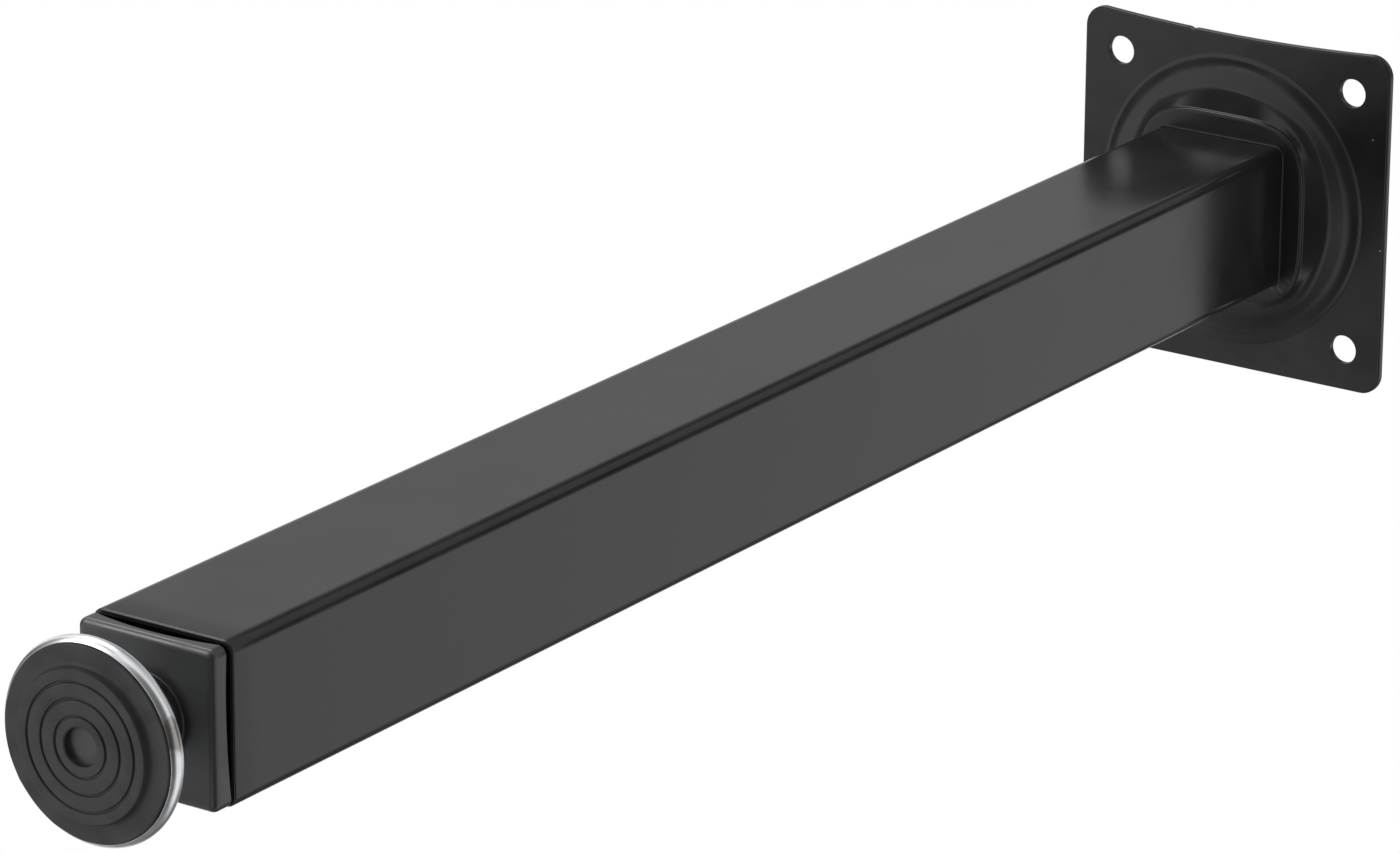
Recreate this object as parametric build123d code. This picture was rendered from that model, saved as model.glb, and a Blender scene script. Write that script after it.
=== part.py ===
from build123d import *

import math
import os

# Screw-on table leg: square tube, pressed mounting plate and levelling foot.
# Units are millimetres, +Z points up from the floor to the table top, and the
# origin lies under the middle of the foot, on the floor.

# Square tube
tube_width = 40.0
tube_wall = 1.5
tube_corner = 3.0
tube_start = 29.7          # height of the tube's lower end above the floor
tube_length = 467.4

# Mounting plate: flat border, round dish and raised platform
plate_side = 96.6
plate_sheet = 2.0
plate_corner = 6.0
plate_bow = 1.6            # how far the pressing drew one side inward
plate_edge_round = 0.5
hole_inset = 11.6          # from the plate's sides to a screw hole's middle
hole_diameter = 8.0
dish_rise = 1.8
dish_slope_width = 2.6
ledge_width = 5.6
ledge_rise = 0.9
dish_round = 1.6
platform_land = 6.2        # flat band between the tube and the platform's rim
platform_run = 6.2         # how far the platform's foot stands outside its rim
platform_power = 3.8       # 2 is a circle, larger is squarer
platform_points = 32       # points that carry the rim's curve
platform_rise = 7.5        # from the border's lower face to the platform's
platform_round = 1.4
ledge_round = 2.0          # concave bend where the platform rises from the ledge
tube_reach = 2.0           # the tube's end stands this far past the platform's sheet
tube_fit = 0.05            # gap between the tube and the plate's square hole

# Weld inside the plate's hollow
weld_leg = 1.5
weld_corner_growth = 1.0   # the weld runs rounder than the tube at its corners

# End insert
flange_width = 39.0
flange_height = 6.4        # from the tube's end down to the flange's face
flange_corner = 2.2
flange_edge_round = 1.5
flange_bow = 2.0
flange_gap = 0.6           # between the flange's corners and the tube's end
boss_radius = 10.7
boss_height = 3.2
boss_edge_round = 1.0
plug_width = 31.0
plug_corner = 3.0
plug_wall = 2.2
plug_length = 24.0         # measured up from the tube's end
fin_count = 4
fin_thickness = 1.2
fin_pitch = 5.6
fin_gap = 0.1              # between a fin and the tube's inside
nut_cover = 1.5            # plastic under and over the nut

# Threaded stud and its nut
thread_diameter = 10.0
thread_gap = 0.05
nut_flats = 17.0
nut_height = 8.0
nut_gap = 0.02
stud_clearance = 0.5       # round the stud, in the insert
stud_length = 45.0         # above the cup
stud_end_chamfer = 1.0
stud_head_radius = 8.0
stud_head_height = 1.3
stud_shoulder_radius = 7.5
stud_shoulder_height = 2.0

# Pressed cup with rolled rim
cup_radius = 24.8
cup_sheet = 1.2
cup_roll = 2.5             # outer radius of the rolled rim
cup_lip_inset = 1.3        # how far inside the rim's widest line the roll ends
cup_rim_height = 2.4       # lowest point of the rim above the floor
cup_crown = 0.8            # how far the middle stands above the rim's top
cup_crown_radius = 13.0
cup_hole_gap = 0.1
head_gap = 0.3             # round the stud's head, in the pad

# Rubber pad
pad_gap = 0.05
pad_margin_height = 2.1    # the outer margin's height above the floor
pad_edge_round = 0.4
sole_inset = 5.5           # from the cup's lip to the edge of the raised sole
sole_flare = 1.0
sole_cove = 2.6
sole_edge_round = 0.4
recess_radius = 4.6
recess_depth = 3.4
recess_round = 0.8
ring_first = 7.25
ring_pitch = 4.0
ring_count = 3
ring_width = 0.8
ring_depth = 0.6

# Modelling values
smallest_corner = 0.5      # least corner radius inside a square hollow
cut_past = 1.0             # how far a cut runs past the face it leaves through
same_place = 0.01          # two places closer than this count as one

# Heights and radii that follow from the sizes above
tube_inside = tube_width - 2 * tube_wall
tube_inside_corner = max(tube_corner - tube_wall, smallest_corner)
tube_top = tube_start + tube_length
platform_face = tube_top - tube_reach - plate_sheet
plate_face = platform_face + platform_rise
plate_top = plate_face + plate_sheet
hole_spacing = plate_side - 2 * hole_inset
platform_half = tube_width / 2 + platform_land
platform_foot = platform_half + platform_run
dish_shoulder = platform_foot + ledge_width
dish_radius = dish_shoulder + dish_slope_width
dish_height = plate_face - dish_rise
ledge_height = dish_height - ledge_rise
flange_face = tube_start - flange_height
boss_face = flange_face - boss_height
nut_base = flange_face + nut_cover
nut_top = nut_base + nut_height
thread_radius = thread_diameter / 2
cup_lip_radius = cup_radius - cup_lip_inset
sole_radius = cup_lip_radius - sole_inset
roll_centre_radius = cup_radius - cup_roll
roll_centre_height = cup_rim_height + cup_roll
rim_top = roll_centre_height + cup_roll
cup_top = rim_top + cup_crown
cup_ceiling = cup_top - cup_sheet
rim_ceiling = rim_top - cup_sheet


def square_prism(width, corner, bottom, top):
    """Upright prism on a square with rounded corners."""
    outline = RectangleRounded(width, width, corner)
    return Pos(0, 0, bottom) * extrude(outline, top - bottom)


def disc(radius, bottom, top):
    """Upright cylinder between two heights."""
    return Pos(0, 0, bottom) * extrude(Circle(radius), top - bottom)


def turned(outline):
    """Solid of revolution about Z from an outline drawn as radius and height."""
    return revolve(Plane.XZ * outline, Axis.Z)


def corners_at(outline, radius):
    """Corners of a flat outline that lie at one radius."""
    return outline.vertices().filter_by(lambda v: abs(v.X - radius) < same_place)


def leg_tube():
    """Square tube, open at both ends."""
    outer = square_prism(tube_width, tube_corner, tube_start, tube_top)
    return outer - square_prism(tube_inside, tube_inside_corner, tube_start, tube_top)


def plate_border():
    """Flat square blank with rounded corners, one side drawn slightly inward."""
    half = plate_side / 2
    # The bowed side reaches full width where the corner rounds begin.
    corner = half - plate_bow + plate_bow * (half / (half - plate_corner)) ** 2
    bowed = ThreePointArc((corner, -half), (half - plate_bow, 0), (corner, half))
    others = Polyline((corner, half), (-half, half), (-half, -half), (corner, -half))
    blank = make_face(bowed + others)
    blank = fillet(blank.vertices(), plate_corner)
    solid = Pos(0, 0, plate_face) * extrude(blank, plate_sheet)
    lower_rim = solid.faces().sort_by(Axis.Z)[0].edges()
    return fillet(lower_rim, plate_edge_round)


def dish_form(inset):
    """Round dish below the plate's upper face; inset leaves the sheet's thickness."""
    low = dish_height + inset
    ledge = ledge_height + inset
    top = plate_top + inset
    foot = dish_radius - inset
    shoulder = dish_shoulder - inset
    inner = platform_foot - inset
    start = plate_face + inset
    outline = make_face(
        Polyline(
            (0, top),
            (foot + 2 * dish_round, top),
            (foot + 2 * dish_round, start),
            (foot, start),
            (shoulder, low),
            (inner, ledge),
            (0, ledge),
            (0, top),
        )
    )
    bends = corners_at(outline, foot) + corners_at(outline, shoulder)
    return turned(fillet(bends, dish_round))


def platform_outline(half):
    """Closed curve between a circle and a square, as a rounded press tool leaves."""
    points = []
    for step in range(platform_points):
        angle = 2 * math.pi * step / platform_points
        cosine = abs(math.cos(angle)) ** platform_power
        sine = abs(math.sin(angle)) ** platform_power
        radius = half / (cosine + sine) ** (1 / platform_power)
        points.append((radius * math.cos(angle), radius * math.sin(angle)))
    return make_face(Spline(points, periodic=True))


def platform_form(inset):
    """Rise from a round foot on the dish's ledge to the squarish platform."""
    foot = Pos(0, 0, ledge_height + inset) * Circle(platform_foot - inset)
    rim = Pos(0, 0, platform_face + inset) * platform_outline(platform_half - inset)
    rise = loft([foot, rim])
    if inset == 0:
        rise = fillet(rise.edges().sort_by(Axis.Z)[0], platform_round)
    return rise


def mounting_plate():
    """Pressed plate: border, dish and platform in one sheet of even thickness."""
    outer = plate_border() + dish_form(0) + platform_form(0)
    bends = outer.edges().filter_by(lambda e: abs(e.center().Z - ledge_height) < same_place and e.length > dish_radius)
    outer = fillet(bends, ledge_round)
    hollow = dish_form(plate_sheet) + platform_form(plate_sheet)
    plate = outer - hollow
    hole_width = tube_width + 2 * tube_fit
    tube_hole = square_prism(hole_width, tube_corner + tube_fit, platform_face - cut_past, plate_top)
    plate = plate - tube_hole
    drill = disc(hole_diameter / 2, plate_face - cut_past, plate_top + cut_past)
    for place in GridLocations(hole_spacing, hole_spacing, 2, 2):
        plate = plate - place * drill
    return plate


def weld_bead():
    """Fillet weld round the tube's end, on the plate's hollow side."""
    sheet_top = platform_face + plate_sheet
    outer_width = tube_width + 2 * weld_leg
    outer_corner = tube_corner + weld_leg + weld_corner_growth
    foot = Pos(0, 0, sheet_top) * RectangleRounded(outer_width, outer_width, outer_corner)
    crest = Pos(0, 0, sheet_top + weld_leg) * RectangleRounded(tube_width, tube_width, tube_corner)
    bead = loft([foot, crest])
    bore = square_prism(tube_width, tube_corner, sheet_top - cut_past, sheet_top + weld_leg + cut_past)
    return bead - bore


def insert_flange():
    """Square cap under the tube, its upper edge bowed away from the tube between the corners."""
    top = tube_start - flange_gap
    flange = square_prism(flange_width, flange_corner, flange_face, top)
    lower_rim = flange.faces().sort_by(Axis.Z)[0].edges()
    flange = fillet(lower_rim, flange_edge_round)
    half = flange_width / 2
    bow_radius = (half**2 + flange_bow**2) / (2 * flange_bow)
    roller = Cylinder(bow_radius, 2 * flange_width)
    centre_height = top - flange_bow + bow_radius
    along_x = Pos(0, 0, centre_height) * Rot(0, 90, 0) * roller
    along_y = Pos(0, 0, centre_height) * Rot(90, 0, 0) * roller
    return flange - along_x - along_y


def insert_plug():
    """Hollow square core with thin fins that grip the tube's inside."""
    plug_base = flange_face + nut_cover
    plug_top = tube_start + plug_length
    core = square_prism(plug_width, plug_corner, plug_base, plug_top)
    fin_width = tube_inside - 2 * fin_gap
    first = plug_top - (fin_count - 1) * fin_pitch - fin_thickness
    for index in range(fin_count):
        low = first + index * fin_pitch
        core += square_prism(fin_width, tube_inside_corner, low, low + fin_thickness)
    hollow_width = plug_width - 2 * plug_wall
    hollow_corner = max(plug_corner - plug_wall, smallest_corner)
    hollow = square_prism(hollow_width, hollow_corner, nut_top + nut_cover, plug_top)
    return core - hollow


def end_insert():
    """Moulded end plug: flange, finned plug and a round boss round the stud."""
    boss = disc(boss_radius, boss_face, flange_face + nut_cover)
    boss = fillet(boss.edges().sort_by(Axis.Z)[0], boss_edge_round)
    body = insert_flange() + insert_plug() + boss
    pocket_size = nut_flats / 2 + nut_gap
    pocket = Pos(0, 0, nut_base - nut_gap) * extrude(
        RegularPolygon(pocket_size, 6, major_radius=False), nut_height + 2 * nut_gap
    )
    bore = disc(thread_radius + stud_clearance, boss_face - cut_past, tube_start + plug_length)
    return body - pocket - bore


def insert_nut():
    """Hexagon nut moulded into the insert, its corners chamfered on both faces."""
    prism = Pos(0, 0, nut_base) * extrude(RegularPolygon(nut_flats / 2, 6, major_radius=False), nut_height)
    corner_radius = nut_flats / math.sqrt(3)
    drop = (corner_radius - nut_flats / 2) * math.tan(math.radians(30))
    low, high = nut_base, nut_top
    turned_form = make_face(
        Polyline(
            (0, low),
            (nut_flats / 2, low),
            (corner_radius, low + drop),
            (corner_radius, high - drop),
            (nut_flats / 2, high),
            (0, high),
            (0, low),
        )
    )
    nut = prism & turned(turned_form)
    return nut - disc(thread_radius + thread_gap / 2, low - cut_past, high + cut_past)


def foot_stud():
    """Threaded stud, clamped to the cup between its head and its shoulder."""
    head = disc(stud_head_radius, cup_ceiling - stud_head_height, cup_ceiling)
    neck = disc(thread_radius, cup_ceiling, cup_top)
    shoulder = disc(stud_shoulder_radius, cup_top, cup_top + stud_shoulder_height)
    shoulder = chamfer(shoulder.edges().sort_by(Axis.Z)[-1], stud_shoulder_height / 3)
    shank_radius = thread_radius - thread_gap / 2
    shank = disc(shank_radius, cup_top, cup_top + stud_length)
    shank = chamfer(shank.edges().sort_by(Axis.Z)[-1], stud_end_chamfer)
    return head + neck + shoulder + shank


def foot_cup():
    """Pressed cup: crowned disc whose rim rolls round and under the pad's edge."""
    roll = Pos(roll_centre_radius, roll_centre_height) * (Circle(cup_roll) - Circle(cup_roll - cup_sheet))
    inside = Pos(roll_centre_radius / 2, roll_centre_height) * Rectangle(roll_centre_radius, 4 * cup_roll)
    below = Pos(cup_lip_radius / 2, roll_centre_height - cup_roll) * Rectangle(cup_lip_radius, 2 * cup_roll)
    rim = roll - inside - below
    crown_foot = roll_centre_radius
    top = make_face(
        Polyline(
            (thread_radius + cup_hole_gap, cup_ceiling),
            (cup_crown_radius, cup_ceiling),
            (crown_foot, rim_ceiling),
            (crown_foot, rim_top),
            (cup_crown_radius, cup_top),
            (thread_radius + cup_hole_gap, cup_top),
            (thread_radius + cup_hole_gap, cup_ceiling),
        )
    )
    return turned(rim + top)


def pad_body():
    """Outer form of the pad: the part held in the cup, the margin and the raised sole."""
    neck = cup_lip_radius - pad_gap
    top = rim_ceiling - pad_gap
    cove_start = sole_radius + sole_flare
    outline = make_face(
        Polyline(
            (0, 0),
            (sole_radius, 0),
            (cove_start, pad_margin_height),
            (neck, pad_margin_height),
            (neck, roll_centre_height),
            (roll_centre_radius, roll_centre_height),
            (roll_centre_radius, top),
            (0, top),
            (0, 0),
        )
    )
    outline = fillet(corners_at(outline, sole_radius), sole_edge_round)
    outline = fillet(corners_at(outline, cove_start), sole_cove)
    margin_edge = corners_at(outline, neck).sort_by(Axis.Y)[0]
    outline = fillet(margin_edge, pad_edge_round)
    bulge_radius = cup_roll - cup_sheet - pad_gap
    bulge = Pos(roll_centre_radius, roll_centre_height) * Circle(bulge_radius)
    return turned(outline + bulge)


def foot_pad():
    """Rubber pad with a round recess and ring grooves moulded in its sole."""
    pad = pad_body()
    recess = disc(recess_radius, -cut_past, recess_depth)
    recess = fillet(recess.edges().sort_by(Axis.Z)[-1], recess_round)
    pad = pad - recess
    for index in range(ring_count):
        radius = ring_first + index * ring_pitch
        groove = Pos(radius, 0) * Rectangle(ring_width, 2 * ring_depth)
        pad = pad - turned(groove)
    head_pocket = disc(stud_head_radius + head_gap, cup_ceiling - stud_head_height - head_gap, cup_top)
    return pad - head_pocket


if __name__ == "__main__":
    os.makedirs("parts", exist_ok=True)
    makers = (leg_tube, mounting_plate, weld_bead, end_insert, insert_nut, foot_stud, foot_cup, foot_pad)
    for make in makers:
        export_step(make(), f"parts/{make.__name__}.step")
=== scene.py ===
import math

import bmesh
import bpy
import numpy as np
from bpy.props import FloatProperty, FloatVectorProperty, IntProperty, PointerProperty
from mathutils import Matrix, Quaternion, Vector


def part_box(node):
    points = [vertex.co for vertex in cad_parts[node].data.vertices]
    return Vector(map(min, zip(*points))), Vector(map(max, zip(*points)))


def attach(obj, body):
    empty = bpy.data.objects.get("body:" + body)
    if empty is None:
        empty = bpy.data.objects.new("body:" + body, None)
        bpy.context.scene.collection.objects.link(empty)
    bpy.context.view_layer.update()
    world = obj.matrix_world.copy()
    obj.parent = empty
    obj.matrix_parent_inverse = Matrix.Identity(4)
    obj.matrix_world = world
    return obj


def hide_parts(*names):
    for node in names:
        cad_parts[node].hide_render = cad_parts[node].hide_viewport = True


bl_info = {
    "name": "Table Leg Dresser",
    "version": (1, 0, 0),
    "blender": (4, 5, 0),
    "location": "View3D > Sidebar > Table Leg",
    "description": "Builds the painted leg, its pressed mounting plate and its levelling foot",
    "category": "Add Mesh",
}

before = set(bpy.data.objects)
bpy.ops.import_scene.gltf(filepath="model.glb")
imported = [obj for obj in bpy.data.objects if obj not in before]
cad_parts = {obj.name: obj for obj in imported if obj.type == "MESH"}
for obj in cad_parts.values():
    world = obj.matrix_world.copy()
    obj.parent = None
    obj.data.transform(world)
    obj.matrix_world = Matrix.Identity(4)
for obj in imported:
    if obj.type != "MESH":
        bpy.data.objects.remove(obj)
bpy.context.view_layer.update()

MILLIMETRE = 0.001
SEAM = 1e-6             # points nearer than this are one point
HAIR = 0.00002          # keeps a piece's surface off its neighbour's
FLAT_SHARE = 0.04       # how near its ends a straight run gets its extra points
CUP_SHEET = 0.0012      # thickness of the cup's sheet
ROLL_HEIGHT = 0.0049    # height of the middle of the cup's rolled rim
PAD_GAP = 0.00005       # between the cup's rim and the pad in it
LOWER_EDGE, UPPER_EDGE = 0.0009, 0.0005     # how far inside the blank's edge the plate's flat faces start

# Bands of rays in a quarter turn of the plate: from, to, both in degrees, and how many rays
PLATE_BANDS = ((0, 20, 16), (20, 40.4, 16), (40.4, 49.6, 28), (49.6, 70, 16), (70, 90, 16))

# Where the photograph was taken from, and how the camera was turned
CAMERA_PLACE = (0.57362712, 0.9231414, -1.10567342)
CAMERA_TURN = (-0.0949356587, 0.7026960135, 0.6291644908, 0.3183670474)

# Dark regions that gloss finds in the room: direction, inner and outer angle in degrees, depth
DARK_REGIONS = (
    ((0.55, 0.1, 0.78), 25, 60, 0.45),
    ((0.61, -0.13, 0.782), 4, 19, 0.72),
    ((0.04, 0.618, 0.785), 4, 20, 0.85),
    ((0.3, -0.6, 0.74), 12, 30, 0.22),
    ((-0.78, 0.08, 0.63), 14, 38, 0.85),
    ((-0.95, -0.1, -0.25), 26, 46, 0.78),
    ((0.37, 0.6, -0.71), 34, 52, 0.88),
    ((-0.5, 0.62, -0.6), 15, 34, 0.88),
    ((0.64, -0.5, -0.58), 14, 25, 0.88),
    ((0.2, -0.95, -0.16), 18, 30, 0.85),
    ((-0.2, -0.96, 0.14), 14, 28, 0.8),
    ((0.8, -0.5, -0.33), 10, 26, 0.8),
    ((-0.47, -0.37, -0.8), 8, 18, 0.9),
)

tube_low, tube_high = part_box("leg_tube")
plate_low, plate_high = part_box("mounting_plate")
insert_low, insert_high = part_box("end_insert")
stud_low, stud_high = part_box("foot_stud")
cup_low, cup_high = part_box("foot_cup")
pad_low, pad_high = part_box("foot_pad")
nut_low, nut_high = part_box("insert_nut")


def length(label, note, default):
    """A length setting, in metres."""
    return FloatProperty(
        name=label, description=note, default=default, unit="LENGTH", subtype="DISTANCE", precision=5
    )


def colour(label, note, default):
    """A colour setting, in linear values."""
    return FloatVectorProperty(
        name=label, description=note, default=default, size=3, min=0.0, max=1.0, subtype="COLOR"
    )


def power(label, note, default):
    """A lamp's power setting, in watts."""
    return FloatProperty(name=label, description=note, default=default, min=0.0, unit="POWER")


class TubeSizes(bpy.types.PropertyGroup):
    """Sizes of the square tube."""

    width: length("Width", "Outside width of the square tube", tube_high.x - tube_low.x)
    wall: length("Wall", "Thickness of the tube's wall", 0.0015)
    corner: length("Corner radius", "Radius of the long corners", 0.003)
    edge: length("End edge radius", "How round the paint makes the tube's cut edges", 0.0005)
    hollow: length("Face hollow", "How far the middle of each face lies inside a true flat", 0.00005)


class PlateSizes(bpy.types.PropertyGroup):
    """Sizes of the pressed mounting plate."""

    side: length("Side", "Side of the square blank", 0.0966)
    sheet: length("Sheet", "Thickness of the sheet", 0.002)
    corner: length("Corner radius", "Radius of the blank's corners", 0.006)
    bow: length("Drawn side", "How far the pressing drew one side inward", 0.0016)
    hole_spacing: length("Hole spacing", "Distance between neighbouring screw holes", 0.0734)
    hole_radius: length("Hole radius", "Radius of a screw hole", 0.004)
    dish: length("Dish radius", "Radius where the round dish starts", 0.0406)
    shoulder: length("Shoulder radius", "Radius where the dish's slope ends", 0.038)
    foot: length("Platform foot", "Radius of the round line the platform rises from", 0.0324)
    platform: length("Platform half width", "From the middle to the platform's rim, across the flats", 0.0262)
    dish_rise: length("Dish rise", "Depth of the dish below the border", 0.0018)
    ledge_rise: length("Ledge rise", "Fall across the ledge", 0.0009)
    platform_rise: length("Platform rise", "From the border to the platform", 0.0075)
    squareness: FloatProperty(
        name="Squareness", description="2 is a circle, larger is squarer", default=3.8, min=2.0
    )


class InsertSizes(bpy.types.PropertyGroup):
    """Sizes of the moulded end insert."""

    flange: length("Flange width", "Width of the flange under the tube", 0.039)
    flange_corner: length("Flange corner", "Corner radius of the flange", 0.0022)
    flange_edge: length("Flange edge radius", "How round the lower edge is", 0.0018)
    bow: length("Upper edge bow", "Drop of the upper edge between the corners, on the X sides", 0.002)
    side_bow: length("Side bow", "Drop of the upper edge between the corners, on the Y sides", 0.0008)
    slant: length("Slant", "How much lower the upper edge lies at +X than at -X", 0.001)
    boss: length("Boss radius", "Radius of the round boss", 0.0107)
    plug: length("Plug width", "Width of the hollow core inside the tube", 0.031)
    bore: length("Bore radius", "Radius of the hole round the stud", 0.0055)


class FootSizes(bpy.types.PropertyGroup):
    """Sizes of the stud, the cup and the pad."""

    thread: length("Thread radius", "Radius over the thread's crests", 0.004975)
    pitch: length("Thread pitch", "Rise of the thread in one turn", 0.0015)
    cup: length("Cup radius", "Widest radius of the rolled rim", cup_high.x)
    roll: length("Roll radius", "Outer radius of the rolled rim", 0.0025)
    lip: length("Lip radius", "Radius where the rolled rim ends", 0.0235)
    sole: length("Sole radius", "Radius of the raised sole", 0.018)
    recess: length("Recess radius", "Radius of the round recess in the sole", 0.0046)
    rings: IntProperty(
        name="Rings", description="How many ring grooves the sole has", default=3, min=0, max=3
    )


class FinishColours(bpy.types.PropertyGroup):
    """Colours of the finishes."""

    paint: colour("Paint", "Black gloss paint", (0.014, 0.0142, 0.0146))
    plastic: colour("Plastic", "Black moulded plastic", (0.017, 0.017, 0.0176))
    zinc: colour("Zinc", "Bright zinc plating", (0.8, 0.82, 0.84))
    rubber: colour("Rubber", "Black moulded rubber", (0.0225, 0.0221, 0.0225))


class StudioSettings(bpy.types.PropertyGroup):
    """Floor, lamps and camera."""

    floor: colour("Floor", "Plain pale floor", (0.85, 0.85, 0.85))
    room: FloatProperty(name="Room light", description="Even light from all sides", default=0.6, min=0.0)
    side: power("Side lamp", "Power of the lamp beside the leg", 8.5)
    foot: power("Foot lamp", "Power of the lamp on the foot", 0.2)
    sole: power("Sole lamp", "Power of the lamp under the sole", 8.0)
    lens: FloatProperty(
        name="Lens", description="Focal length on a 36 mm wide frame", default=179.789, min=1.0, unit="CAMERA"
    )


# Shapes worked out on grids


def square_rays(half, corner, side_steps, corner_steps):
    """Angles of one turn for a rounded square: even on the flats, close together round the corners."""
    tangent = math.atan2(half - corner, half)
    last_on_flat = 0.985 * tangent
    side = np.linspace(0.0, last_on_flat, side_steps)
    bend = np.linspace(tangent, math.pi / 2 - tangent, corner_steps)
    return four_quarters(np.concatenate([side, bend, math.pi / 2 - side[:0:-1]]))


def four_quarters(quarter):
    """Angles of one turn from those of its first quarter."""
    return (quarter[None, :] + np.arange(4)[:, None] * math.pi / 2).ravel()


def round_rays(count):
    """Angles of one turn at even steps."""
    return np.arange(count) * 2 * math.pi / count


def ray_parts(angle):
    """Larger and smaller of a ray's cosine and sine, both without their sign."""
    cosine, sine = abs(np.cos(angle)), abs(np.sin(angle))
    return np.maximum(cosine, sine), np.minimum(cosine, sine)


def reach(angle, half, corner):
    """Distance from the middle to a rounded square along a ray.

    On a flat it is half over the larger of cosine and sine. In a corner it is the far root of the
    corner circle's equation.
    """
    near, far = ray_parts(angle)
    flat = half / near
    middle = half - corner
    both = near + far
    bend = middle * both + np.sqrt(np.maximum((middle * both) ** 2 - 2 * middle**2 + corner**2, 0.0))
    return np.where(flat * far <= middle, flat, bend)


def place_on_flat(angle, half, corner):
    """Place along a flat of a rounded square: 0 at its middle, rising evenly to 1 where a corner starts."""
    near, far = ray_parts(angle)
    return np.minimum(far / near * half / (half - corner), 1.0)


def hexagon_reach(angle, flats):
    """Distance from the middle to a hexagon along a ray.

    It is half the width over flats, over the cosine of the angle to the nearest flat's normal.
    """
    step = math.pi / 3
    away = (angle + step / 2) % step - step / 2
    return flats / 2 / np.cos(away)


def rounded(corners, radii, steps=7):
    """Polyline whose inner corners become arcs.

    Each arc starts radius * tan(turn / 2) before its corner and ends as far after it, and its
    points are the start turned about the arc's centre by even shares of the turn. Each straight
    run gets a point near both its ends. corners has shape (..., count, 2).
    """
    corners = np.asarray(corners, float)
    pieces = [corners[..., :1, :]]
    share = np.linspace(0.0, 1.0, steps)
    for index, radius in enumerate(radii, start=1):
        here = corners[..., index, :]
        before = here - corners[..., index - 1, :]
        after = corners[..., index + 1, :] - here
        before = before / np.linalg.norm(before, axis=-1, keepdims=True)
        after = after / np.linalg.norm(after, axis=-1, keepdims=True)
        cross = before[..., 0] * after[..., 1] - before[..., 1] * after[..., 0]
        dot = (before * after).sum(-1)
        turn = np.arctan2(cross, dot)
        if radius == 0:
            pieces.append(here[..., None, :])
            continue
        start = here - before * (radius * np.tan(abs(turn) / 2))[..., None]
        left = np.stack([-before[..., 1], before[..., 0]], -1)
        centre = start + left * (np.sign(turn) * radius)[..., None]
        arm = start - centre
        angle = turn[..., None] * share
        spun = np.stack(
            [
                arm[..., 0, None] * np.cos(angle) - arm[..., 1, None] * np.sin(angle),
                arm[..., 0, None] * np.sin(angle) + arm[..., 1, None] * np.cos(angle),
            ],
            -1,
        )
        pieces.append(centre[..., None, :] + spun)
    pieces.append(corners[..., -1:, :])
    joined = []
    for first, second in zip(pieces[:-1], pieces[1:]):
        low, high = first[..., -1:, :], second[..., :1, :]
        joined += [first, low + (high - low) * FLAT_SHARE, high - (high - low) * FLAT_SHARE]
    joined.append(pieces[-1])
    return np.concatenate(joined, axis=-2)


def divided(profile, longest):
    """The same polyline with every run longer than a limit cut into equal shorter ones."""
    gaps = np.linalg.norm(np.diff(profile, axis=0), axis=1)
    cuts = np.maximum(np.ceil(gaps / longest), 1).astype(int)
    shares = [np.arange(count) / count + index for index, count in enumerate(cuts)]
    place = np.concatenate(shares + [[len(cuts)]])
    known = np.arange(len(profile))
    return np.stack([np.interp(place, known, profile[:, axis]) for axis in range(profile.shape[1])], -1)


def rings(angle, radius, height):
    """Points of stacked rings: radius * cos(angle), radius * sin(angle) and height, one row a ring."""
    angle, radius, height = np.broadcast_arrays(angle, radius, height)
    return np.stack([radius * np.cos(angle), radius * np.sin(angle), height], -1)


def skin(points, closed_rows=False, closed_columns=True):
    """Patch of a grid of points, which may close on itself: four neighbours make each face."""
    rows, columns = points.shape[:2]
    row, column = np.meshgrid(
        np.arange(rows if closed_rows else rows - 1),
        np.arange(columns if closed_columns else columns - 1),
        indexing="ij",
    )
    next_row, next_column = (row + 1) % rows, (column + 1) % columns
    corners = ((row, column), (row, next_column), (next_row, next_column), (next_row, column))
    faces = np.stack([down * columns + along for down, along in corners], -1)
    return points.reshape(-1, 3), faces.reshape(-1, 4)


def turned(profile, count, closed=True):
    """Surface of revolution about Z of a profile of (radius, height) points."""
    angle = round_rays(count)
    return skin(rings(angle[None, :], profile[:, 0:1], profile[:, 1:2]), closed_rows=closed)


def make_piece(name, patches, body, replaced, material):
    """One object from patches, on its body and in place of its CAD node.

    The patches are joined, their seams merged and the faces turned outward. A piece with an open
    edge stops the script.
    """
    offset, points, faces = 0, [], []
    for patch_points, patch_faces in patches:
        points.append(patch_points)
        faces.append(patch_faces + offset)
        offset += len(patch_points)
    mesh = bpy.data.meshes.new(name)
    mesh.from_pydata(np.concatenate(points).tolist(), [], np.concatenate(faces).tolist())
    work = bmesh.new()
    work.from_mesh(mesh)
    bmesh.ops.remove_doubles(work, verts=work.verts, dist=SEAM)
    bmesh.ops.dissolve_degenerate(work, edges=work.edges, dist=SEAM / 10)
    bmesh.ops.recalc_face_normals(work, faces=work.faces)
    open_edges = sum(1 for edge in work.edges if len(edge.link_faces) != 2)
    if open_edges:
        raise RuntimeError(f"{name} has {open_edges} open edges")
    work.to_mesh(mesh)
    work.free()
    mesh.shade_smooth()
    mesh.materials.append(material)
    piece = bpy.data.objects.new(name, mesh)
    bpy.context.scene.collection.objects.link(piece)
    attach(piece, body)
    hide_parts(replaced)
    return piece


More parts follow.
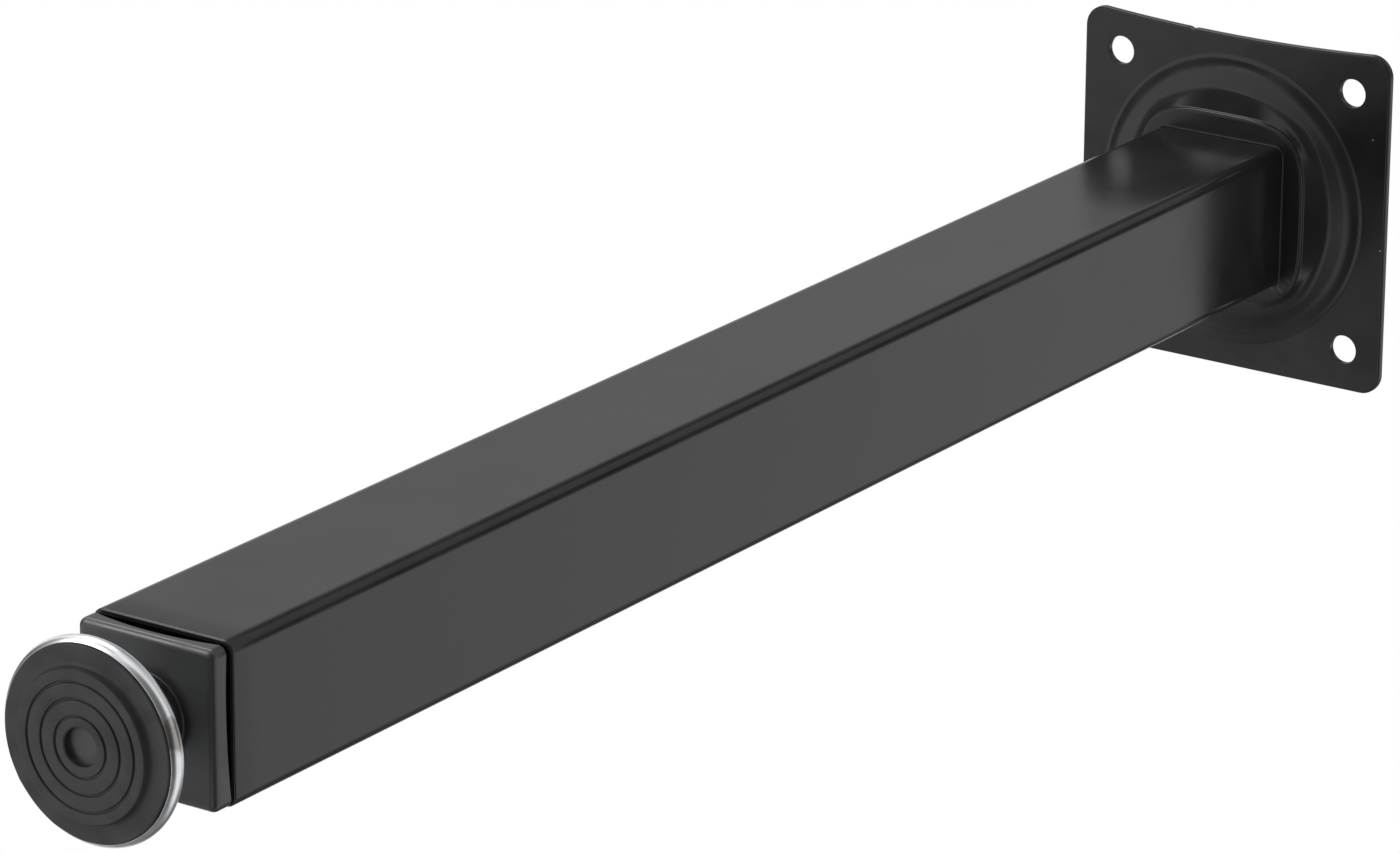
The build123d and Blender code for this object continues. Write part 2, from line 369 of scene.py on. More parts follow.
def tube_patches(sizes):
    """Square tube: a thin upright strip with rounded ends carried round a rounded square.

    Each face is hollow by hollow * (1 - t * t), t being the place across the face from -1 to 1.
    """
    least_corner = 0.0004   # of the tube's long corners inside
    flat_end = 0.02         # the hollow fades out over this length at both ends
    longest_run = 0.012     # between two rings of points
    half, wall = sizes.width / 2, sizes.wall
    middle = (tube_low.z + tube_high.z) / 2
    corners = [
        (0, middle),
        (0, tube_low.z),
        (wall, tube_low.z),
        (wall, tube_high.z),
        (0, tube_high.z),
        (0, middle + MILLIMETRE),
    ]
    profile = divided(rounded(corners, (sizes.edge,) * 4, steps=5), longest_run)
    angle = square_rays(half, sizes.corner, side_steps=14, corner_steps=13)[None, :]
    inset, height = profile[:, 0:1], profile[:, 1:2]
    across = place_on_flat(angle, half, sizes.corner)
    ends = np.clip(np.minimum(height - tube_low.z, tube_high.z - height) / flat_end, 0, 1)
    drawn = sizes.hollow * (1 - across**2) * ends / ray_parts(angle)[0]
    radius = reach(angle, half - inset, np.maximum(sizes.corner - inset, least_corner)) - drawn
    return [skin(rings(angle, radius, height), closed_rows=True)]


def blank_outline(sizes, angle, inset):
    """Edge of the plate's blank along rays: a rounded square whose +X side bows inward.

    The bow is bow * (1 - t * t), t being the place along the side. The side has one small nick,
    nick_depth * exp(-t * t), t being the distance from it in nick widths.
    """
    nick_place, nick_width, nick_depth = -0.014, 0.0007, 0.0004
    half = sizes.side / 2
    radius = reach(angle, half - inset, sizes.corner - inset)
    x, y = radius * np.cos(angle), radius * np.sin(angle)
    flat = half - sizes.corner
    drawn = sizes.bow * np.clip(1 - (y / flat) ** 2, 0, 1)
    nick = nick_depth * np.exp(-(((y - nick_place) / nick_width) ** 2))
    on_side = (x > 0) & (abs(y) < flat)
    return np.where(on_side, x - drawn - nick, x), y


def plate_rays():
    """Rays of the plate: close together where the blank's and the tube's corners are."""
    bands = [np.linspace(low, high, count, endpoint=False) for low, high, count in PLATE_BANDS]
    return np.radians((np.concatenate(bands)[None, :] + np.arange(4)[:, None] * 90).ravel())


def pressed_face(sizes, angle, circle, upper):
    """Middle of the plate, on its upper or lower side, from the tube out to a circle.

    On each ray a rounded polyline runs down the paint on the tube, over the platform, its rim and
    its wall, over the ledge and up the dish's slope. The platform's rim is a superellipse:
    platform / (|cos|^squareness + |sin|^squareness)^(1 / squareness).
    """
    hole_gap, paint_climb, rim_step = 0.00003, 0.0006, 0.0012
    # Radii at the tube, the platform's rim, the rim's step, the platform's foot, the shoulder and the dish
    lower_bends = (0.0005, 0.0008, 0.0007, 0.004, 0.007, 0.003)
    upper_bends = (0.0003, 0.0003, 0.0003, 0.0026, 0.005, 0.003)
    lift = sizes.sheet if upper else 0.0
    border = plate_high.z - sizes.sheet
    face = border - sizes.platform_rise
    dish = border - sizes.dish_rise
    ledge = dish - sizes.ledge_rise
    tube = bpy.context.scene.tube_sizes
    hole = reach(angle, tube.width / 2 + hole_gap, tube.corner)
    exponent = sizes.squareness
    superellipse = (abs(np.cos(angle)) ** exponent + abs(np.sin(angle)) ** exponent) ** (1 / exponent)
    rim = (sizes.platform - lift) / superellipse
    one = np.ones_like(angle)
    places = (
        (hole, face + lift + paint_climb if upper else face - paint_climb),
        (hole, face + lift),
        (rim, face + lift),
        (rim + rim_step / 4, face + lift + rim_step),
        (sizes.foot - lift, ledge + lift),
        (sizes.shoulder - lift, dish + lift),
        (sizes.dish - lift, border + lift),
        (circle, border + lift),
    )
    corners = np.stack([np.stack([one * radius, one * height], -1) for radius, height in places], -2)
    profile = rounded(corners, upper_bends if upper else lower_bends, steps=9)
    return rings(angle, profile[..., 0].T, profile[..., 1].T)


def paint_run(points):
    """Small sags of paint on the platform's rim: two narrow ridges and a drop.

    Each stands proud of the face by height * exp(-distance squared), the distance being in widths.
    """
    # Place along X and Y, width along X and Y, and height, in millimetres
    sags = ((-16.2, 20.4, 0.7, 3.2, 0.28), (-18.4, 18.2, 2.6, 0.6, 0.22), (-19.8, 19.0, 0.6, 0.6, 0.35))
    x, y = points[..., 0] / MILLIMETRE, points[..., 1] / MILLIMETRE
    proud = 0
    for at_x, at_y, wide_x, wide_y, high in sags:
        proud = proud + high * np.exp(-(((x - at_x) / wide_x) ** 2) - ((y - at_y) / wide_y) ** 2)
    lowered = points.copy()
    lowered[..., 2] -= proud * MILLIMETRE
    return lowered


def border_patches(sizes, angle, circle, upper):
    """Flat border of the plate, on its upper or lower side, from the dish's circle to the blank's edge.

    The middles of the sides are plain strips. Each corner has rings round its screw hole, which
    widen evenly from the hole to the corner patch's own outline. The hole's wall is made once.
    """
    hole_edge, hole_bends = 0.0003, (0.0002, 0.00025)
    near_hole = 0.06        # share of the way at which the first ring lies
    strip_rows, hole_rings = 5, 7
    height = plate_high.z - (0 if upper else sizes.sheet)
    strips = []
    for inset in (UPPER_EDGE if upper else LOWER_EDGE, 0.0):
        inner = np.stack([circle * np.cos(angle), circle * np.sin(angle)], -1)
        outer = np.stack(blank_outline(sizes, angle, inset), -1)
        strips.append(inner + (outer - inner) * np.linspace(0, 1, strip_rows)[:, None, None])
    strip, full = strips
    strip = np.concatenate([strip, np.full(strip.shape[:2] + (1,), height)], -1)
    quarter = len(angle) // 4
    first, last = PLATE_BANDS[0][2], quarter - PLATE_BANDS[-1][2]
    patches = []
    for turn in range(4):
        middle = np.arange(last, quarter + first + 1) + turn * quarter
        patches.append(skin(strip[:, middle % len(angle)], closed_columns=False))
        corner = np.arange(first, last + 1) + turn * quarter
        walk, full_walk = (
            np.concatenate(
                [grid[0, corner], grid[1:-1, corner[-1]], grid[-1, corner[::-1]], grid[-2:0:-1, corner[0]]]
            )
            for grid in (strip, full)
        )
        hole_x, hole_y = (sizes.hole_spacing / 2) * np.sign(walk[len(corner) // 2, :2])
        bearing = np.arctan2(full_walk[:, 1] - hole_y, full_walk[:, 0] - hole_x)
        rim = sizes.hole_radius + hole_edge
        ring = np.stack([hole_x + rim * np.cos(bearing), hole_y + rim * np.sin(bearing), walk[:, 2]], -1)
        wider = ring + (walk - ring) * near_hole
        blend = np.linspace(0, 1, hole_rings)[1:, None, None]
        patches.append(skin(np.concatenate([ring[None], wider[None], wider + (walk - wider) * blend])))
        if upper:
            drop = sizes.sheet
            corners = [(hole_edge, 0), (0, 0), (0, -drop), (hole_edge, -drop)]
            profile = rounded(corners, hole_bends, steps=5)
            wall = sizes.hole_radius + profile[:, 0:1]
            level = np.broadcast_to(height + profile[:, 1:2], (len(profile), len(bearing)))
            wall = np.stack([hole_x + wall * np.cos(bearing), hole_y + wall * np.sin(bearing), level], -1)
            patches.append(skin(wall))
    return patches


def plate_patches(sizes):
    """Pressed plate: lower face, upper face, the blank's rounded edge and the wall of the tube's hole."""
    past_dish = 0.0022      # the border's strips start this far outside the dish
    edge_bends = (0.00065, 0.0003)
    angle = plate_rays()
    circle = sizes.dish + past_dish
    lower = paint_run(pressed_face(sizes, angle, circle, False))
    upper = pressed_face(sizes, angle, circle, True)
    low, high = plate_high.z - sizes.sheet, plate_high.z
    edge = rounded([(LOWER_EDGE, low), (0, low), (0, high), (UPPER_EDGE, high)], edge_bends, steps=8)
    rim = []
    for inset, height in edge:
        rim.append(np.stack([*blank_outline(sizes, angle, inset), np.full_like(angle, height)], -1))
    bore = np.stack([lower[0], upper[0]])
    return [
        skin(lower),
        skin(upper),
        skin(np.stack(rim)),
        skin(bore),
        *border_patches(sizes, angle, circle, False),
        *border_patches(sizes, angle, circle, True),
    ]


def weld_patches(tube):
    """Fillet weld: a bulged triangle carried round the tube at even steps of the way round.

    Its leg is 1 - swelling * (1 + cos(turn * ripples)) / 2 of the full one, as a bead's ripples are.
    """
    leg, swelling, ripples = 0.00145, 0.1, 110
    count, fine_count = 560, 4001
    # Section of the bead: out from the tube and up from the sheet, as shares of its leg
    section = np.array([(0, 0), (1, 0), (0.93, 0.3), (0.72, 0.62), (0.4, 0.86), (0.12, 0.98), (0, 1)])
    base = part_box("weld_bead")[0].z
    fine = np.linspace(0, 2 * math.pi, fine_count)
    outline = reach(fine, tube.width / 2, tube.corner)
    x, y = outline * np.cos(fine), outline * np.sin(fine)
    run = np.concatenate([[0], np.cumsum(np.hypot(np.diff(x), np.diff(y)))])
    angle = np.interp(np.arange(count) / count * run[-1], run, fine)
    ripple = 1 - swelling * (0.5 + 0.5 * np.cos(2 * math.pi * ripples * np.arange(count) / count))
    out = section[:, 0:1] * leg * ripple
    up = section[:, 1:2] * leg * ripple
    start = reach(angle, tube.width / 2 + HAIR, tube.corner)
    return [skin(rings(angle[None, :], start + out, base + HAIR + up), closed_rows=True)]


def insert_patches(sizes):
    """End insert: rings from the boss's bore over boss and flange, up the finned plug and down its hollow.

    The flange's upper edge is lowest at the middle of a side and slants along X:
    top - bow * (1 - t * t) - slant * (1 + x / half) / 2.
    """
    boss_height, boss_lead, boss_land, boss_bends = 0.0032, 0.0012, 0.0125, (0.0003, 0.001, 0.0004)
    land, land_corner, land_inset = 0.0004, 0.0003, 0.0004
    lip = 0.0004            # roundness of the flange's upper edge
    gap = 0.0006            # between the flange's corners and the tube's end
    plug_corner, fin_corner, hollow_corner = 0.003, 0.0015, 0.0008
    plug_edge, plug_wall, nut_cover = 0.0003, 0.0022, 0.0015
    fins, fin, fin_pitch, fin_half = 4, 0.0012, 0.0056, 0.0184
    # Section of a fin: how far inside its edge, and how far above its lower side
    fin_section = ((0.0002, 0.0002), (0.0, 0.0005), (0.0, 0.0008), (0.0002, fin))
    pocket_half = 0.00852   # of the nut's pocket, across its flats
    bend_steps = 9

    boss_face = insert_low.z
    face = boss_face + boss_height
    half, corner, edge = sizes.flange / 2, sizes.flange_corner, sizes.flange_edge
    top = tube_low.z - gap
    plug_top = insert_high.z
    plug_half = sizes.plug / 2
    angle = square_rays(half, corner, side_steps=18, corner_steps=13)
    bow = np.where(abs(np.cos(angle)) > abs(np.sin(angle)), sizes.bow, sizes.side_bow)
    drop = bow * (1 - place_on_flat(angle, half, corner) ** 2)
    drop += sizes.slant * (1 + np.clip(np.cos(angle) / ray_parts(angle)[0], -1, 1)) / 2

    boss = rounded(
        [
            (sizes.bore, boss_face + boss_lead),
            (sizes.bore, boss_face),
            (sizes.boss, boss_face),
            (sizes.boss, face),
            (boss_land, face),
        ],
        boss_bends,
        steps=7,
    )
    # Each ring: half width, corner radius, height and share of the upper edge's drop
    outer = [(radius, radius, height, 0.0) for radius, height in boss]
    outer += [(half - edge - land_inset, max(corner - edge, land) + land_corner, face, 0.0)]
    bend = np.linspace(0, math.pi / 2, bend_steps)
    for turn in bend:
        inset = edge * (1 - math.sin(turn))
        outer += [(half - inset, corner - inset, face + edge * (1 - math.cos(turn)), 0.0)]
    for turn in bend:
        inset = lip * (1 - math.cos(turn))
        outer += [(half - inset, corner - inset, top - lip * (1 - math.sin(turn)), 1.0)]
    outer += [(plug_half + plug_edge, plug_corner, top, 1.0), (plug_half, plug_corner, top + plug_edge, 1.0)]
    for index in range(fins):
        low = plug_top - fin - (fins - 1 - index) * fin_pitch
        outer += [(plug_half, plug_corner, low, 0.0)]
        outer += [(fin_half - inset, fin_corner, low + rise, 0.0) for inset, rise in fin_section]
        if index < fins - 1:
            outer += [(plug_half, plug_corner, low + fin, 0.0)]
    hollow, floor = plug_half - plug_wall, nut_high.z + nut_cover
    outer += [(hollow, hollow_corner, plug_top, 0.0), (hollow, hollow_corner, floor, 0.0)]
    outer += [(sizes.bore, sizes.bore, floor, 0.0)]
    stack = np.array(outer)
    radius = reach(angle[None, :], stack[:, 0:1], stack[:, 1:2])
    height = stack[:, 2:3] - stack[:, 3:4] * drop
    shell = rings(angle[None, :], radius, height)

    low, high = nut_low.z - HAIR, nut_high.z + HAIR
    circle, hexagon = np.full_like(angle, sizes.bore), hexagon_reach(angle, 2 * pocket_half)
    pocket = [shell[-1]]
    for radius, height in ((circle, high), (hexagon, high), (hexagon, low), (circle, low)):
        pocket.append(rings(angle, radius, np.full_like(angle, height)))
    pocket.append(shell[0])
    return [skin(shell), skin(np.stack(pocket))]


def stud_patches(sizes):
    """Stud: turned head, neck and shoulder, then a threaded shank.

    The shank's radius falls below the crests by a trapezium wave of the height in pitches less the
    turn, so the wave climbs one pitch a turn. It fades in over the first pitch.
    """
    head, head_height, neck, shoulder, shoulder_height = 0.008, 0.0013, 0.005, 0.0075, 0.002
    shank_foot, undercut, undercut_height, thread_start = 0.0051, 0.0047, 0.0026, 0.0028
    depth, crest, flank = 0.00088, 0.18, 0.62
    thread_end = 0.001      # the thread ends this far below the stud's end
    end_radius, end_flat, end_bevel = 0.004, 0.0038, 0.00015
    lower_bends = (0.0002, 0.0002, 0.0001, 0.0001, 0.0002, 0.0005, 0.0002)
    count = 64
    top, bottom, cup_top = stud_high.z, stud_low.z, cup_high.z
    lower = rounded(
        [
            (0, bottom),
            (head, bottom),
            (head, bottom + head_height),
            (neck, bottom + head_height),
            (neck, cup_top),
            (shoulder, cup_top),
            (shoulder, cup_top + shoulder_height),
            (shank_foot, cup_top + shoulder_height),
            (undercut, cup_top + undercut_height),
        ],
        lower_bends,
        steps=5,
    )
    end = np.array([(end_radius, top - end_bevel), (end_flat, top), (0.0, top)])
    angle = round_rays(count)
    start = cup_top + thread_start
    height = np.arange(start, top - thread_end, sizes.pitch / 10)
    phase = (height[:, None] / sizes.pitch - angle[None, :] / (2 * math.pi)) % 1.0
    slope = np.clip((abs(phase - 0.5) * 2 - crest) / flank, 0, 1)
    fade = np.clip((height - start) / sizes.pitch, 0, 1)[:, None]
    shank = sizes.thread - depth * slope * fade
    level = np.broadcast_to(height[:, None], shank.shape)
    radii, heights = (
        np.concatenate(
            [
                np.broadcast_to(lower[:, axis : axis + 1], (len(lower), count)),
                middle,
                np.broadcast_to(end[:, axis : axis + 1], (len(end), count)),
            ]
        )
        for axis, middle in enumerate((shank, level))
    )
    return [skin(rings(angle[None, :], radii, heights))]


def roll_centre(sizes):
    """Radius and height of the middle of the cup's rolled rim."""
    return sizes.cup - sizes.roll, ROLL_HEIGHT


def arc(centre, radius, start, end, count):
    """Points of an arc about a centre, as (radius, height)."""
    turn = np.linspace(start, end, count)
    return np.stack([centre[0] + radius * np.cos(turn), centre[1] + radius * np.sin(turn)], -1)


def cup_patches(sizes):
    """Cup: a section of crowned sheet that ends in a rolled rim, turned about Z.

    The roll starts where a line from the crown's edge touches its circle. With d the distance from
    the circle's middle to that edge, this lies acos(radius / d) past the edge's own direction.
    """
    hole, crown, crown_bend, hole_bend = 0.0051, 0.013, 0.004, 0.0002
    lip_bulge = 0.0001      # how far the cut edge of the rim's lip stands out
    hole_gap = 0.00001      # between the section's first and last point
    centre = roll_centre(sizes)
    top = cup_high.z
    runs = []
    for radius, height in ((sizes.roll, top), (sizes.roll - CUP_SHEET, top - CUP_SHEET)):
        lip_turn = math.acos(min((sizes.lip - centre[0]) / radius, 1.0))
        away = (crown - centre[0], height - centre[1])
        touch = math.atan2(away[1], away[0]) - math.acos(radius / math.hypot(*away))
        runs.append(arc(centre, radius, touch, -lip_turn, count=36))
    outside, inside = runs[0], runs[1][::-1]
    across = inside[0] - outside[-1]
    past = np.array([across[1], -across[0]])
    past *= -lip_bulge / np.linalg.norm(past) * np.sign(past[0])
    lip = np.stack([outside[-1] + across * share + past for share in (0.25, 0.5, 0.75)])
    middle, under_top = top - CUP_SHEET / 2, top - CUP_SHEET
    upper = [(hole, middle), (hole, top), (crown, top), tuple(outside[0])]
    under = [tuple(inside[-1]), (crown, under_top), (hole, under_top), (hole, middle - hole_gap)]
    upper = rounded(upper, (hole_bend, crown_bend), steps=9)
    under = rounded(under, (crown_bend, hole_bend), steps=9)
    profile = np.concatenate([upper[:-1], outside, lip, inside, under[1:]])
    return [turned(divided(profile, longest=0.002), count=224)]


def pad_patches(sizes):
    """Pad: a turned section with ring grooves and a round recess.

    Each land between two grooves is crowned by crown * (2 * t - 1)^2, t being the place from one
    groove to the next, and the margin's edge wanders a little, as a moulding's flash does.
    """
    recess_depth, recess_bends = 0.0022, [0.0008, 0.0005]
    first, pitch = 0.00725, 0.004
    groove, groove_floor, groove_depth = 0.0004, 0.0002, 0.0005     # half widths and depth
    groove_bends = [0.0002, 0.00015, 0.00015, 0.0002]
    margin, sole_flare, sole_bends = 0.0021, 0.0007, [0.0003, 0.0012, 0.0004]
    head_room, head_top = 0.0083, 0.0054
    crown, crown_top = 0.00016, 0.0007
    flash, rag_size, flash_width, flash_top = 0.00004, 0.00011, 0.0012, 0.0034
    lip = sizes.lip - PAD_GAP
    corners = [(0, recess_depth), (sizes.recess, recess_depth), (sizes.recess, 0)]
    radii = [*recess_bends]
    for index in range(sizes.rings):
        middle = first + pitch * index
        corners += [(middle - groove, 0), (middle - groove_floor, groove_depth)]
        corners += [(middle + groove_floor, groove_depth), (middle + groove, 0)]
        radii += groove_bends
    centre = roll_centre(sizes)
    room = sizes.roll - CUP_SHEET - PAD_GAP
    start = math.acos(min((lip - centre[0]) / room, 1.0))
    meeting = centre[1] - room * math.sin(start)
    corners += [(sizes.sole, 0), (sizes.sole + sole_flare, margin), (lip, margin), (lip, meeting)]
    lower = divided(rounded(corners, radii + sole_bends, steps=6), longest=0.0008)
    side = arc(centre, room, -start, math.pi / 2, count=16)
    top = pad_high.z
    upper = np.array([(centre[0], top), (head_room, top), (head_room, head_top), (0, head_top)])
    profile = np.concatenate([lower, side[1:], divided(upper, longest=0.003)])
    on_sole = (profile[:, 0] > sizes.recess) & (profile[:, 0] < sizes.sole) & (profile[:, 1] < crown_top)
    place = ((profile[:, 0] - first) / pitch) % 1.0
    profile[:, 1] += np.where(on_sole, crown * (2 * place - 1) ** 2, 0)
    angle = round_rays(224)
    waves = np.sin(5 * angle + 1) * np.sin(2 * angle + 0.4) + 0.6 * np.sin(13 * angle) * np.cos(3 * angle)
    weight = np.exp(-(((profile[:, 0:1] - lip) / flash_width) ** 2)) * (profile[:, 1:2] < flash_top)
    radius = profile[:, 0:1] - weight * (flash + abs(rag_size * waves))[None, :]
    return [skin(rings(angle[None, :], radius, profile[:, 1:2]))]


# Finishes


def join(tree, source, target):
    """Links an output to an input, each given as (node, socket name)."""
    tree.links.new(source[0].outputs[source[1]], target[0].inputs[target[1]])


def node(tree, kind, **settings):
    """Adds a node.

    Settings with a capital set sockets by name, with _ for a space. The others set the node's own
    properties.
    """
    made = tree.nodes.new(kind)
    for key, value in settings.items():
        if key[0].isupper():
            made.inputs[key.replace("_", " ")].default_value = value
        else:
            setattr(made, key, value)
    return made


def calculate(tree, operation, first, second=None, third=None, clamp=False):
    """A Math node of numbers or (node, socket) outputs; gives its output."""
    made = node(tree, "ShaderNodeMath", operation=operation, use_clamp=clamp)
    for index, value in enumerate((first, second, third)):
        if isinstance(value, tuple):
            tree.links.new(value[0].outputs[value[1]], made.inputs[index])
        elif value is not None:
            made.inputs[index].default_value = value
    return made, 0


def smooth_change(tree, source, start, end, low=0.0, high=1.0):
    """A number that goes smoothly from low to high while an output goes from start to end."""
    made = node(tree, "ShaderNodeMapRange", interpolation_type="SMOOTHSTEP")
    for socket, value in zip(("From Min", "From Max", "To Min", "To Max"), (start, end, low, high)):
        made.inputs[socket].default_value = value
    join(tree, source, (made, "Value"))
    return made, "Result"


def new_group(name, inputs, outputs):
    """An empty shader node group with named sockets; gives the group, its input node and its output node."""
    tree = bpy.data.node_groups.new(name, "ShaderNodeTree")
    for label, kind, default in inputs:
        socket = tree.interface.new_socket(label, in_out="INPUT", socket_type=kind)
        socket.default_value = default
    for label in outputs:
        tree.interface.new_socket(label, in_out="OUTPUT", socket_type="NodeSocketFloat")
    return tree, tree.nodes.new("NodeGroupInput"), tree.nodes.new("NodeGroupOutput")


def scaled_place(tree, size, offset=(0.0, 0.0, 0.0)):
    """Object coordinates divided by a size in metres, moved by an offset."""
    place = node(tree, "ShaderNodeTexCoord")
    scale = calculate(tree, "DIVIDE", 1.0, size)
    grown = node(tree, "ShaderNodeVectorMath", operation="SCALE")
    join(tree, (place, "Object"), (grown, "Vector"))
    join(tree, scale, (grown, "Scale"))
    moved = node(tree, "ShaderNodeVectorMath", operation="ADD")
    join(tree, (grown, "Vector"), (moved, 0))
    moved.inputs[1].default_value = offset
    return moved, "Vector"


def build_grain():
    """Fine unevenness of a surface: noise at a grain size, with noise a quarter of that size laid over it."""
    tree, given, result = new_group(
        "surface grain",
        [("Grain Size", "NodeSocketFloat", 0.0012), ("Fine Share", "NodeSocketFloat", 0.3)],
        ["Height"],
    )
    place = scaled_place(tree, (given, "Grain Size"))
    coarse = node(tree, "ShaderNodeTexNoise", Scale=1.0, Detail=1.0)
    fine = node(tree, "ShaderNodeTexNoise", Scale=4.3, Detail=2.0)
    for texture in (coarse, fine):
        join(tree, place, (texture, "Vector"))
    share = calculate(tree, "MULTIPLY", (fine, "Fac"), (given, "Fine Share"))
    join(tree, calculate(tree, "ADD", (coarse, "Fac"), share), (result, "Height"))
    return tree


def build_cloud():
    """Slow change of tone over a surface, from 0 to 1."""
    tree, given, result = new_group("slow tone", [("Patch Size", "NodeSocketFloat", 0.02)], ["Tone"])
    place = scaled_place(tree, (given, "Patch Size"), (3.1, 7.7, 1.9))
    texture = node(tree, "ShaderNodeTexNoise", Scale=1.0, Detail=3.0, Roughness=0.55)
    join(tree, place, (texture, "Vector"))
    join(tree, smooth_change(tree, (texture, "Fac"), 0.32, 0.68), (result, "Tone"))
    return tree


def build_specks():
    """Dust nibs: in a share of even cells one small round speck, from 0 to 1."""
    tree, given, result = new_group(
        "dust specks",
        [
            ("Cell Size", "NodeSocketFloat", 0.006),
            ("Speck Size", "NodeSocketFloat", 0.00025),
            ("Share", "NodeSocketFloat", 0.2),
        ],
        ["Mask"],
    )
    place = scaled_place(tree, (given, "Cell Size"), (0.4, 0.2, 0.7))
    cells = node(tree, "ShaderNodeTexVoronoi", Scale=1.0)
    join(tree, place, (cells, "Vector"))
    limit = calculate(tree, "DIVIDE", (given, "Speck Size"), (given, "Cell Size"))
    near = calculate(tree, "DIVIDE", (cells, "Distance"), limit)
    dome = calculate(tree, "SUBTRACT", 1.0, near, clamp=True)
    pick = node(tree, "ShaderNodeSeparateColor")
    join(tree, (cells, "Color"), (pick, "Color"))
    chosen = calculate(tree, "LESS_THAN", (pick, "Red"), (given, "Share"))
    join(tree, calculate(tree, "MULTIPLY", dome, chosen), (result, "Mask"))
    return tree


def build_mark():
    """One local mark: 1 at a centre, falling to 0 at a distance, its edge broken up by noise."""
    tree, given, result = new_group(
        "local mark",
        [
            ("Centre", "NodeSocketVector", (0.0, 0.0, 0.0)),
            ("Stretch", "NodeSocketVector", (1.0, 1.0, 1.0)),
            ("Reach", "NodeSocketFloat", 0.002),
            ("Break Up", "NodeSocketFloat", 0.3),
        ],
        ["Mask"],
    )
    place = node(tree, "ShaderNodeTexCoord")
    away = node(tree, "ShaderNodeVectorMath", operation="SUBTRACT")
    join(tree, (place, "Object"), (away, 0))
    join(tree, (given, "Centre"), (away, 1))
    drawn = node(tree, "ShaderNodeVectorMath", operation="MULTIPLY")
    join(tree, (away, "Vector"), (drawn, 0))
    join(tree, (given, "Stretch"), (drawn, 1))
    far = node(tree, "ShaderNodeVectorMath", operation="LENGTH")
    join(tree, (drawn, "Vector"), (far, 0))
    ratio = calculate(tree, "DIVIDE", (far, "Value"), (given, "Reach"))
    rough = node(tree, "ShaderNodeTexNoise", Scale=2.5, Detail=3.0)
    join(tree, scaled_place(tree, (given, "Reach")), (rough, "Vector"))
    push = calculate(tree, "MULTIPLY", calculate(tree, "SUBTRACT", (rough, "Fac"), 0.5), (given, "Break Up"))
    total = calculate(tree, "ADD", ratio, calculate(tree, "MULTIPLY", push, 2.0))
    join(tree, smooth_change(tree, total, 1.0, 0.45), (result, "Mask"))
    return tree


def build_lathe_lines():
    """Fine circular lines about Z, as pressing, rolling and plating leave.

    They are noise read at the point's radius and height only.
    """
    tree, given, result = new_group(
        "circular lines", [("Line Width", "NodeSocketFloat", 0.0003)], ["Tone"]
    )
    place = node(tree, "ShaderNodeTexCoord")
    parts = node(tree, "ShaderNodeSeparateXYZ")
    join(tree, (place, "Object"), (parts, "Vector"))
    squares = [calculate(tree, "MULTIPLY", (parts, axis), (parts, axis)) for axis in ("X", "Y")]
    radius = calculate(tree, "SQRT", calculate(tree, "ADD", *squares))
    flat = node(tree, "ShaderNodeCombineXYZ")
    join(tree, calculate(tree, "DIVIDE", radius, (given, "Line Width")), (flat, "X"))
    join(tree, calculate(tree, "DIVIDE", (parts, "Z"), (given, "Line Width")), (flat, "Y"))
    texture = node(tree, "ShaderNodeTexNoise", Scale=1.0, Detail=2.0)
    join(tree, (flat, "Vector"), (texture, "Vector"))
    join(tree, (texture, "Fac"), (result, "Tone"))
    return tree


class Finish:
    """A material being put together: its tree, its main shader and short calls for what feeds it."""

    def __init__(self, name):
        self.material = bpy.data.materials.new(name)
        self.material.use_nodes = True
        self.tree = self.material.node_tree
        self.shader = self.tree.nodes["Principled BSDF"]

    def effect(self, group, output, **values):
        """Places a node group with its own values and gives one of its outputs."""
        placed = node(self.tree, "ShaderNodeGroup", node_tree=bpy.data.node_groups[group])
        for key, value in values.items():
            placed.inputs[key.replace("_", " ")].default_value = value
        return placed, output

    def mark(self, place, stretch, size, break_up):
        """Places one local mark and gives its mask."""
        return self.effect(
            "local mark", "Mask", Centre=place, Stretch=stretch, Reach=size, Break_Up=break_up
        )

    def mix(self, share, first, second):
        """A colour between two, each plain or an output, by a share that changes over the surface."""
        first_colour, second_colour, mixed_colour = 6, 7, 2     # the Mix node's sockets for colours
        blend = node(self.tree, "ShaderNodeMix", data_type="RGBA")
        join(self.tree, share, (blend, "Factor"))
        for socket, value in ((first_colour, first), (second_colour, second)):
            if isinstance(value[0], bpy.types.Node):
                join(self.tree, value, (blend, socket))
            else:
                blend.inputs[socket].default_value = (*value, 1.0)
        return blend, mixed_colour

    def spread(self, share, low, high):
        """A number between two by a share that changes over the surface."""
        return calculate(self.tree, "MULTIPLY_ADD", share, high - low, low)

    def feed(self, output, socket):
        """Links an output to the main shader."""
        join(self.tree, output, (self.shader, socket))

    def bump(self, layers):
        """Bump nodes in a row, each with (height output, depth in metres); the last feeds the shader."""
        before = None
        for height, depth in layers:
            step = node(self.tree, "ShaderNodeBump", Strength=1.0, Distance=depth)
            join(self.tree, height, (step, "Height"))
            if before:
                join(self.tree, before, (step, "Normal"))
            before = (step, "Normal")
        self.feed(before, "Normal")


